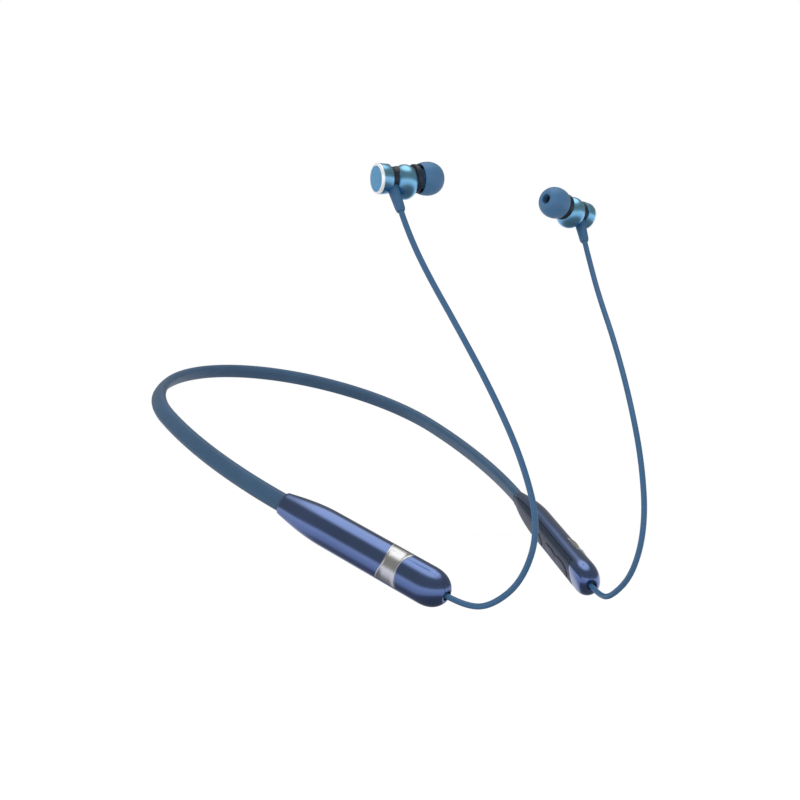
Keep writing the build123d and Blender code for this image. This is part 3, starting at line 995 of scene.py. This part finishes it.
    def shell(self, name: str) -> bpy.types.Object:
        """The glossy outer shell with the whole dome and the cord's hole.

        Args:
            name: the piece's name.

        Returns:
            The closed shell.
        """
        past_cover = self.cover_end + self.seam_gap
        shell = self._part(name, lambda at: at.x > 0 and (at.y > -self.seam or at.x > past_cover))
        soften(shell, self.rim_round, angle=self.rim_angle)
        return shell

    def cover(self, name: str) -> bpy.types.Object:
        """The satin inner cover, which reaches a lip further over the neckband."""
        return self._part(name, lambda at: at.y < -self.seam - self.seam_gap and at.x < self.cover_end)

    def trim_half_width(self, height: float) -> float:
        """Half width of the hourglass at a height.

        Args:
            height: the height off the pod's middle.

        Returns:
            The half width.
        """
        rise = (self.trim_edge - self.trim_waist) / 2
        radius = (self.trim_reach ** 2 + rise ** 2) / (2 * rise)
        return self.trim_waist / 2 + radius - math.sqrt(radius ** 2 - height ** 2)

    def trim(self, name: str) -> bpy.types.Object:
        """The chrome saddle: an hourglass band with raised bevelled borders.

        Args:
            name: the piece's name.

        Returns:
            The closed trim.
        """
        across = (-1.0, -0.965, -0.90, -0.83, -0.77, -0.4, 0.0, 0.4, 0.77, 0.83, 0.90, 0.965, 1.0)
        lifts = (0.02, 0.24, 0.30, 0.26, 0.12, 0.10, 0.10, 0.10, 0.12, 0.26, 0.30, 0.24, 0.02)
        deselect()
        bpy.ops.mesh.primitive_grid_add(x_subdivisions=len(across) - 1, y_subdivisions=self.trim_steps, size=2)
        trim = bpy.context.object
        trim.name = name
        sweep = math.radians(self.trim_sweep)

        def wrapped(at: Vector) -> Vector:
            """Wrap a point of the flat grid round the pod.

            Args:
                at: the point, from -1 to 1 each way.

            Returns:
                Its place in the pod's frame.
            """
            index = round((at.x + 1) / 2 * (len(across) - 1))
            angle = at.y * sweep
            height = self.half_height * math.sin(angle)
            depth = self.flattened(self.outer_depth * math.cos(angle))
            out = Vector((0, math.cos(angle) / self.outer_depth, math.sin(angle) / self.half_height))
            along = self.trim_at + across[index] * self.trim_half_width(height)
            return Vector((along, depth, height)) + out.normalized() * lifts[index]

        reshape(trim, wrapped)
        tidy(trim)
        self._face_outward(trim)
        modify(trim, "SOLIDIFY", thickness=self.trim_thickness, offset=-1.0, use_rim=True)
        return trim

    def _face_outward(self, patch: bpy.types.Object) -> None:
        """Turn an open patch's faces away from the pod's axis.

        Args:
            patch: the patch in object mode.
        """
        face = patch.data.polygons[len(patch.data.polygons) // 2]
        if face.normal.dot(Vector((0, face.center.y, face.center.z))) < 0:
            patch.data.flip_normals()

    def build(self, side: Side, controls: "Controls") -> None:
        """Model, dress and hang one pod.

        Args:
            side: the pod's side.
            controls: the buttons, which only the left pod's cover has room for.
        """
        shell = self.shell(side.name_of("pod_shell"))
        cover = self.cover(side.name_of("pod_cover"))
        trim = self.trim(side.name_of("pod_trim"))
        if side is Side.LEFT:
            controls.cut(cover)
        soften(cover, self.rim_round, angle=self.rim_angle)
        for piece, finish, node, slot in (
                (shell, LACQUER, "outer_shell", "shell_blue"), (cover, COVER, "inner_cover", "cover_grey"),
                (trim, CHROME, "saddle_trim", "chrome_trim")):
            place(piece, BAND.pod, side, self.smooth_angle)
            hang(piece, finish, side.arm, side.name_of(node))


@dataclass
class Controls:
    """The round button and the two-lobed volume rocker of the left pod."""

    face: float = 4.6
    button_at: float = 33.0
    button_radius: float = 3.4
    button_proud: float = 0.12
    button_gap: float = 0.18
    rocker_at: float = 53.0
    rocker_half_length: float = 10.9
    lobe_radius: float = 3.1
    waist: float = 4.4
    rocker_proud: float = 0.12
    rocker_gap: float = 0.25
    button_depth: float = 1.5
    button_round: float = 0.45
    button_crown: float = 0.08
    rocker_depth: float = 0.9
    rocker_round: float = 0.38
    waist_spread: float = 2.3
    opening_reach: float = 3.0
    outline_points: int = 128
    turn_steps: int = 64
    smooth_angle: float = 35.0

    def frame_at(self, at: float) -> Matrix:
        """Frame on the pod's flat face with Z outward, in the pod's frame."""
        return matrix_of(Vector((1, 0, 0)), Vector((0, 0, 1)), Vector((0, -1, 0)), Vector((at, -self.face, 0)))

    def _lobed(self, share: float, grow: float) -> Point:
        """Point of the rocker's outline at a share of its way round.

        Args:
            share: from 0 to 1, round from the right-hand end.
            grow: clearance added all round.

        Returns:
            The point in the rocker's plane.
        """
        angle = math.tau * share
        lobe = self.lobe_radius + grow
        reach = self.rocker_half_length - self.lobe_radius
        x = reach * math.copysign(abs(math.cos(angle)) ** 0.9, math.cos(angle)) + lobe * math.cos(angle) ** 3
        limit = self.rocker_half_length + grow
        x = max(-limit, min(limit, x * limit / (reach + lobe)))
        past = max(0.0, abs(x) - reach)
        half = math.sqrt(max(0.0, lobe ** 2 - past ** 2))
        narrow = (self.lobe_radius - self.waist / 2) * math.exp(-(x / self.waist_spread) ** 4)
        return x, math.copysign(max(half - narrow, 0.0), math.sin(angle))

    def _rocker_prism(self, name: str, grow: float, low: float, high: float) -> bpy.types.Object:
        """Prism of the rocker's outline.

        Args:
            name: the piece's name.
            grow: clearance added all round.
            low: height off the pod's flat face where it starts.
            high: height where it ends.

        Returns:
            The closed prism, drawn about the rocker's middle.
        """
        piece = circle(name, self.outline_points)
        for index, vertex in enumerate(piece.data.vertices):
            x, y = self._lobed(index / self.outline_points, grow)
            vertex.co = (x, y, low)
        edit(piece)
        bpy.ops.mesh.select_all(action="SELECT")
        bpy.ops.mesh.edge_face_add()
        bpy.ops.mesh.extrude_region_move(TRANSFORM_OT_translate={"value": (0, 0, high - low)})
        close_edit()
        tidy(piece, 0.02)
        return piece

    def cut(self, cover: bpy.types.Object) -> None:
        """Cut the openings for the button and the rocker in the left cover.

        Args:
            cover: the cover, in the pod's frame.
        """
        reach = self.opening_reach
        rocker = self._rocker_prism("rocker_opening", self.rocker_gap, -reach, reach)
        rocker.data.transform(self.frame_at(self.rocker_at))
        radius = self.button_radius + self.button_gap
        outline = [(0, -reach), (radius, -reach), (radius, reach), (0, reach)]
        button = turned("button_opening", outline, self.turn_steps)
        button.data.transform(self.frame_at(self.button_at))
        for cutter in (rocker, button):
            modify(cover, "BOOLEAN", object=cutter, operation="DIFFERENCE", solver="EXACT")
            bpy.data.objects.remove(cutter)

    def build(self) -> None:
        """Model, dress and hang the button and the rocker."""
        rocker = self._rocker_prism("rocker_key", 0.0, -self.rocker_depth, self.rocker_proud)
        soften(rocker, self.rocker_round, 4, 60.0)
        rocker.data.transform(self.frame_at(self.rocker_at))
        top, edge, rim = self.button_proud, self.button_radius, self.button_round
        outline = [(0, -self.button_depth), (edge, -self.button_depth), (edge, top - rim)]
        outline += arc((edge - rim, top - rim), (rim, 0.40), 20, 80, 4)
        outline += [(edge * 0.55, top + 0.05), (0, top + self.button_crown)]
        button = turned("button_key", outline, self.turn_steps)
        button.data.transform(self.frame_at(self.button_at))
        for piece, body in ((rocker, "volume_rocker"), (button, "multifunction_button")):
            place(piece, BAND.pod, Side.LEFT, self.smooth_angle)
            hang(piece, CONTROL, body, body)


# ---------------------------------------------------------------- the earbuds and cords


@dataclass
class Earbud:
    """One earbud, drawn about its own axis from the back disc to the ear tip, in millimetres."""

    disc_radius: float = 4.6
    ring_radius: float = 5.5
    ring_width: float = 0.95
    ring_bevel: float = 0.5
    collar_end: float = 4.8
    waist_radius: float = 4.3
    waist_at: float = 5.6
    waist_end: float = 6.8
    bulb_at: float = 10.9
    bulb_radius: float = 6.3
    bulb_half: float = 4.8
    bulb_drop: float = 1.4
    shoulder_radius: float = 4.4
    nozzle_start: float = 14.9
    nozzle_radius: float = 2.7
    nozzle_bore: float = 1.9
    nozzle_end: float = 23.0
    tip_ring_radius: float = 5.2
    tip_ring_end: float = 16.6
    tip_start: float = 16.9
    tip_end: float = 26.4
    tip_radius: float = 6.1
    tip_wall: float = 0.8
    crown: float = 21.0
    boot_length: float = 9.5
    boot_root: float = 2.35
    boot_end: float = 1.9
    boot_cord_hole: float = 1.12
    boot_sides: int = 8
    boot_round: float = 0.28
    seat: float = 0.8
    core: float = 2.0
    turn_steps: int = 88
    smooth_angle: float = 28.0

    def disc(self) -> list[Point]:
        """Outline of the flat back disc, with a shallow dish.

        Returns:
            The outline's points.
        """
        edge, rim = self.disc_radius, 0.14
        return [(0, self.seat), (0, 0.10), (edge * 0.7, 0.08), (edge - 0.5, 0.03), (edge - rim, 0.0),
                (edge, rim), (edge, self.seat)]

    def ring(self) -> list[Point]:
        """Outline of the bright bevelled ring round the disc.

        Returns:
            The outline's points.
        """
        inner, outer, bevel, width = self.disc_radius, self.ring_radius, self.ring_bevel, self.ring_width
        return [(inner, self.seat), (inner, 0.02), (inner + 0.05, -0.03), (inner + 0.22, -0.03),
                (inner + 0.30, 0.02), (outer - 0.04, bevel - 0.04), (outer, bevel + 0.06), (outer, width - 0.06),
                (outer - 0.06, width), (inner - 0.6, width), (inner - 0.6, self.seat)]

    def collar(self) -> list[Point]:
        """Outline of the blue collar behind the ring.

        Returns:
            The outline's points.
        """
        outer, start, end = self.ring_radius, self.ring_width, self.collar_end
        return [(self.core, start), (outer - 0.12, start), (outer - 0.02, start + 0.1),
                (outer - 0.02, start + 0.9), (outer - 0.2, end - 0.35), (outer - 0.32, end - 0.1),
                (outer - 0.55, end), (self.core, end)]

    def waist(self) -> list[Point]:
        """Outline of the dark waist between the collar and the bulb.

        Returns:
            The outline's points.
        """
        edge, start, end = self.waist_radius, self.collar_end, self.waist_end
        return [(self.core, start - 0.6), (edge + 0.5, start - 0.1), (edge + 0.15, self.waist_at - 0.3),
                (edge, self.waist_at), (edge, end), (edge + 0.2, end + 1.4), (self.core, end + 1.4)]

    def bulb(self) -> list[Point]:
        """Outline of the bulb about its own axis.

        Returns:
            The outline's points.
        """
        start = math.degrees(math.asin((self.waist_end - self.bulb_at) / self.bulb_half))
        curve = arc((0, self.bulb_at), (self.bulb_radius, self.bulb_half), start, 84, 30)
        return [(0, self.waist_end)] + curve + [(0, curve[-1][1] + 0.02)]

    def shoulder(self) -> list[Point]:
        """Outline of the front shoulder and nozzle.

        Returns:
            The outline's points.
        """
        edge, bore, stem = self.shoulder_radius, self.nozzle_bore, self.nozzle_radius
        return [(bore, self.bulb_at + 2.4), (edge, self.bulb_at + 2.4), (edge, self.nozzle_start - 0.3),
                (edge - 0.3, self.nozzle_start), (stem, self.nozzle_start), (stem, self.nozzle_end - 0.2),
                (stem - 0.2, self.nozzle_end), (bore, self.nozzle_end)]

    def tip_ring(self) -> list[Point]:
        """Outline of the ring behind the ear tip, made near-black as painted shade for the shadow there.

        Returns:
            The outline's points.
        """
        edge, start, end, soft = self.tip_ring_radius, self.nozzle_start - 0.4, self.tip_ring_end, 0.45
        points = [(self.nozzle_radius, start)]
        points += arc((edge - soft, start + soft), (soft, soft), -90, 0, 4)
        points += arc((edge - soft, end - soft), (soft, soft), 0, 90, 4)
        return points + [(self.nozzle_radius, end)]

    def ear_tip(self) -> list[Point]:
        """Outline of the mushroom ear tip: a domed skirt round a stem.

        Returns:
            The outline's points.
        """
        bore, outer, wall = self.nozzle_bore, self.tip_radius, self.tip_wall
        stem_bore = self.nozzle_radius + 0.05
        stem = stem_bore + wall
        skirt = self.tip_start + 0.5
        points = [(bore, self.nozzle_end + 0.4), (bore, self.tip_end - 0.3)]
        points += arc((bore + 0.32, self.tip_end - 0.32), (0.32, 0.32), 180, 90, 4)[1:]
        points += arc((1.9, self.crown - 0.2), (outer - 1.9, self.tip_end - self.crown + 0.2), 86, 0, 22)
        points += [(outer - 0.06, self.crown - 1.4), (outer - 0.28, self.crown - 2.6),
                   (outer - 0.52, skirt + 0.3), (outer - 0.66, skirt + 0.06), (outer - 0.86, skirt),
                   (outer - 1.04, skirt + 0.2), (outer - wall - 0.1, self.crown - 1.2), (outer - wall, self.crown)]
        points += arc((stem, self.crown), (outer - wall - stem, 2.0), 20, 86, 8)
        points += [(stem, self.crown + 1.4), (stem, self.tip_start + 0.1), (stem - 0.1, self.tip_start)]
        return points + [(stem_bore, self.tip_start), (stem_bore, self.nozzle_end + 0.4)]

    def boot(self, name: str) -> bpy.types.Object:
        """The faceted cord boot, drawn down its own axis.

        Args:
            name: the piece's name.

        Returns:
            The closed boot.
        """
        start, reach = self.waist_radius * 0.5, self.waist_radius + self.boot_length
        end = self.boot_end
        sections = [
            (start, self.boot_root), (reach - 2.2, end), (reach - 1.2, end * 0.97), (reach - 0.45, end * 0.86),
            (reach - 0.1, end * 0.70), (reach, self.boot_cord_hole)]
        boot = circle(name, self.boot_sides)
        half_side = Matrix.Rotation(math.pi / self.boot_sides, 3, "Z")
        reshape(boot, lambda at: half_side @ at)
        drawn_out(boot, [(at, size, size) for at, size in sections])
        edit(boot)
        for level in (reach, start):
            pick(boot, lambda at: abs(at.z - level) < 0.001)
            bpy.ops.mesh.edge_face_add()
        close_edit()
        tidy(boot)
        soften(boot, self.boot_round, angle=30.0)
        return boot

    def build(self, side: Side) -> list[bpy.types.Object]:
        """Model, dress and hang one earbud.

        Args:
            side: the earbud's side.

        Returns:
            Its pieces, which are on the cord.
        """
        drop = Matrix.Translation(Vector((self.bulb_drop, 0, 0)))
        plain = Matrix.Identity(4)
        table = (
            ("bud_disc", self.disc(), plain, DISC, "back_disc", "disc_blue"),
            ("bud_ring", self.ring(), plain, BRIGHT, "bevel_ring", "chrome_trim"),
            ("bud_collar", self.collar(), plain, BUD_METAL, "rear_housing", "bud_blue"),
            ("bud_waist", self.waist(), plain, DARK, "rear_housing", "dark_ring"),
            ("bud_bulb", self.bulb(), drop, BUD_METAL, "front_housing", "bud_blue"),
            # The shoulder and the ring behind the ear tip take the near-black finish as painted shade for the
            # shadow between the bulb and the ear tip.
            ("bud_shoulder", self.shoulder(), plain, DARK, "front_housing", "dark_ring"),
            ("bud_tip_ring", self.tip_ring(), plain, DARK, "tip_ring", "dark_ring"),
            ("bud_ear_tip", self.ear_tip(), plain, TIP, "ear_tip", "tip_silicone"))
        pieces = []
        for label, outline, shift, finish, node, slot in table:
            piece = turned(side.name_of(label), outline, self.turn_steps)
            self._mark_radius(piece)
            place(piece, BUD.matrix @ shift, side, self.smooth_angle)
            body = side.name_of("ear_tip") if node == "ear_tip" else side.arm
            hang(piece, finish, body, side.name_of(node))
            pieces.append(piece)
        boot = self.boot(side.name_of("bud_boot"))
        place(boot, BUD.boot_matrix(self.waist_at), side, 24.0)
        hang(boot, RUBBER, side.arm, side.name_of("cord_boot"))
        return pieces + [boot]

    def _mark_radius(self, piece: bpy.types.Object) -> None:
        """Keep each point's distance from the turning axis as an attribute for the finish.

        Args:
            piece: the turned piece, in its own frame.
        """
        marks = piece.data.attributes.new("turned_radius", "FLOAT", "POINT")
        for vertex, mark in zip(piece.data.vertices, marks.data):
            mark.value = math.hypot(vertex.co.x, vertex.co.y)


@dataclass
class Cord:
    """One cord from the pod's tip to its earbud."""

    diameter: float = 0.0021
    length: float = 0.1754
    route: tuple[tuple[float, float, float], ...] = (
        (0.03498, -0.2038, -0.09261),
        (0.03225, -0.21111, -0.09597),
        (0.0286, -0.2205, -0.0958),
        (0.026, -0.234, -0.0865),
        (0.025, -0.241, -0.069),
        (0.0283, -0.2367, -0.047),
        (0.033, -0.227, -0.024),
        (0.038, -0.215, -0.0015),
        (0.0418, -0.2033, 0.018),
        (0.04431, -0.1962, 0.03231),
        (0.04517, -0.19269, 0.04109))

    def build(self, side: Side, on_cord: Sequence[bpy.types.Object]) -> None:
        """Model, dress and hang one cord.

        Args:
            side: the cord's side.
            on_cord: the earbud's pieces; not used.
        """
        points = [side.turn @ Vector(point) for point in self.route]
        curve = bpy.data.curves.new(side.name_of("cord_skin"), "CURVE")
        curve.dimensions = "3D"
        curve.resolution_u = 24
        curve.bevel_depth = self.diameter / 2
        curve.bevel_resolution = 5
        spline = curve.splines.new("NURBS")
        spline.points.add(len(points) - 1)
        for control, point in zip(spline.points, points):
            control.co = (*point, 1.0)
        spline.order_u = 3
        spline.use_endpoint_u = True
        spline.use_smooth = True
        cord = bpy.data.objects.new(side.name_of("cord_skin"), curve)
        bpy.context.scene.collection.objects.link(cord)
        hang(cord, RUBBER, side.arm, side.name_of("cord"))


# ---------------------------------------------------------------- carried-over nodes, stage and view


def dress_nodes() -> None:
    """Give every CAD node that stays in sight, or inside, its finish."""
    both = (
        ("arm_spring_wire", STEEL), ("arm_harness", RUBBER), ("cord_gland", GLAND), ("wire_crimp", STEEL),
        ("bud_magnet", STEEL), ("nozzle_mesh", GAUZE), ("driver", BLACK),
        ("arm_sheath", SILICONE), ("outer_shell", LACQUER), ("inner_cover", COVER), ("saddle_trim", CHROME),
        ("back_disc", DISC), ("bevel_ring", BRIGHT), ("rear_housing", BUD_METAL), ("front_housing", BUD_METAL),
        ("tip_ring", DARK), ("ear_tip", TIP), ("cord_boot", RUBBER), ("cord", RUBBER))
    single = (
        ("nape_sheath", SILICONE), ("nape_spring_wire", STEEL), ("nape_harness", RUBBER),
        ("multifunction_button", CONTROL), ("volume_rocker", CONTROL), ("rocker_pin", STEEL),
        ("power_switch", BLACK), ("power_switch_plunger", BLACK), ("volume_switches", BLACK),
        ("main_board", BOARD), ("board_screws", STEEL), ("bluetooth_chip", BLACK), ("charging_port", STEEL),
        ("charge_lamp", LENS), ("microphone", STEEL), ("battery", FOIL), ("battery_pad", BLACK),
        ("battery_board", BOARD))
    for name, finish in both:
        for side in Side:
            finish.dress_node(side.name_of(name))
    for name, finish in single:
        finish.dress_node(name)


@dataclass
class Studio:
    """Floor, light and camera."""

    floor_height: float = -0.24
    floor_size: float = 6.0
    camera_place: tuple[float, float, float] = (-0.29187, -0.53023, -0.05471)
    target: tuple[float, float, float] = (-0.005, -0.13684, -0.02066)
    lens: float = 54.0
    sensor: float = 36.0
    near_limit: float = 0.01
    fill_light: float = 1.08
    backdrop: float = 1.0
    gloss_light: float = 1.35
    bands: tuple[tuple[float, tuple[float, float, float]], ...] = (
        (0.0, (0.10, 0.10, 0.10)), (0.20, (0.12, 0.12, 0.13)), (0.33, (0.42, 0.44, 0.52)),
        (0.52, (0.60, 0.61, 0.66)), (0.60, (0.15, 0.15, 0.14)), (0.90, (0.15, 0.15, 0.14)),
        (0.975, (1.0, 1.0, 1.0)), (1.0, (1.0, 1.0, 1.0)))
    lamps: tuple[tuple[str, tuple[float, float, float], float, float], ...] = (
        ("key", (-0.35, -0.35, 0.75), 0.7, 3.5), ("fill", (-0.8, -0.5, 0.1), 0.8, 1.0))
    lamp_target: tuple[float, float, float] = (0, -0.12, -0.02)

    def build(self) -> None:
        """Make the floor, the light and the camera."""
        self._floor()
        self._world()
        self._lights()
        self._camera()

    def _floor(self) -> None:
        """Plain pale floor, well below the hanging object."""
        deselect()
        bpy.ops.mesh.primitive_plane_add(size=self.floor_size, location=(0, -0.1, self.floor_height))
        floor = bpy.context.object
        floor.name = "floor"
        floor.visible_glossy = False
        material = bpy.data.materials.new("pale_floor")
        material.use_nodes = True
        shader = material.node_tree.nodes["Principled BSDF"]
        shader.inputs["Base Color"].default_value = (0.92, 0.92, 0.92, 1)
        shader.inputs["Roughness"].default_value = 0.9
        shader.inputs["Specular IOR Level"].default_value = 0.0
        floor.data.materials.append(material)

    def _world(self) -> None:
        """Pale surround, with the light and dark bands of a studio for the gloss to reflect."""
        world = bpy.data.worlds.new("studio")
        bpy.context.scene.world = world
        world.use_nodes = True
        tree = world.node_tree
        tree.nodes.clear()
        out = add_node(tree, "OutputWorld", {})
        path = add_node(tree, "LightPath", {})
        where = add_node(tree, "TexCoord", {})
        parts = add_node(tree, "SeparateXYZ", {})
        height = add_node(tree, "MapRange", {"From Min": -1.0})
        ramp = add_node(tree, "ValToRGB", {})
        elements = ramp.color_ramp.elements
        while len(elements) < len(self.bands):
            elements.new(0.5)
        for element, (position, colour) in zip(elements, self.bands):
            element.position = position
            element.color = (*colour, 1)
        ramp.color_ramp.interpolation = "EASE"
        plain, seen, glossy = (
            add_node(tree, "Background", {"Color": rgb(1, 1, 1), "Strength": strength})
            for strength in (self.fill_light, self.backdrop, self.gloss_light))
        first, second = add_node(tree, "MixShader", {}), add_node(tree, "MixShader", {})
        join(
            tree,
            (where, "Generated", parts, "Vector"), (parts, "Z", height, "Value"), (height, "Result", ramp, "Fac"),
            (ramp, "Color", glossy, "Color"), (path, "Is Glossy Ray", first, "Fac"),
            (plain, "Background", first, 1), (glossy, "Background", first, 2),
            (path, "Is Camera Ray", second, "Fac"), (first, "Shader", second, 1),
            (seen, "Background", second, 2), (second, "Shader", out, "Surface"))

    def _lights(self) -> None:
        """One large soft key above and one weak fill on the camera's side."""
        for name, spot, size, power in self.lamps:
            light = bpy.data.lights.new(name, "AREA")
            light.size = size
            light.energy = power
            lamp = bpy.data.objects.new(name, light)
            bpy.context.scene.collection.objects.link(lamp)
            self._aim(lamp, spot, self.lamp_target)
            lamp.visible_glossy = False

    def _camera(self) -> None:
        """Camera at the object's showing angle."""
        camera = bpy.data.cameras.new("camera")
        camera.lens = self.lens
        camera.sensor_width = self.sensor
        camera.clip_start = self.near_limit
        view = bpy.data.objects.new("camera", camera)
        bpy.context.scene.collection.objects.link(view)
        self._aim(view, self.camera_place, self.target)
        bpy.context.scene.camera = view

    def _aim(self, thing: bpy.types.Object, spot: Sequence[float], target: Sequence[float]) -> None:
        """Put a lamp or camera in its place and point it.

        Args:
            thing: the lamp or camera.
            spot: its place.
            target: what it points at.
        """
        thing.location = spot
        aim = Vector(target) - Vector(spot)
        thing.rotation_euler = aim.to_track_quat("-Z", "Y").to_euler()


def plain_colours() -> None:
    """Show whites as white and the lacquer's blue as it is."""
    bpy.context.scene.view_settings.view_transform = "Standard"


def main() -> None:
    """Build every sub-assembly in order."""
    logging.basicConfig(level=logging.INFO, format="%(message)s")
    Studio().build()
    plain_colours()
    neckband, pod, controls, earbud, cord = Neckband(), Pod(), Controls(), Earbud(), Cord()
    for side in Side:
        neckband.build(side)
        log.info("%s half of the neckband", side.value)
        pod.build(side, controls)
        log.info("%s pod", side.value)
        pieces = earbud.build(side)
        log.info("%s earbud", side.value)
        cord.build(side, pieces)
        log.info("%s cord", side.value)
    controls.build()
    log.info("button and rocker")
    dress_nodes()
    log.info("carried-over nodes")
    deselect()


if __name__ == "__main__":
    main()
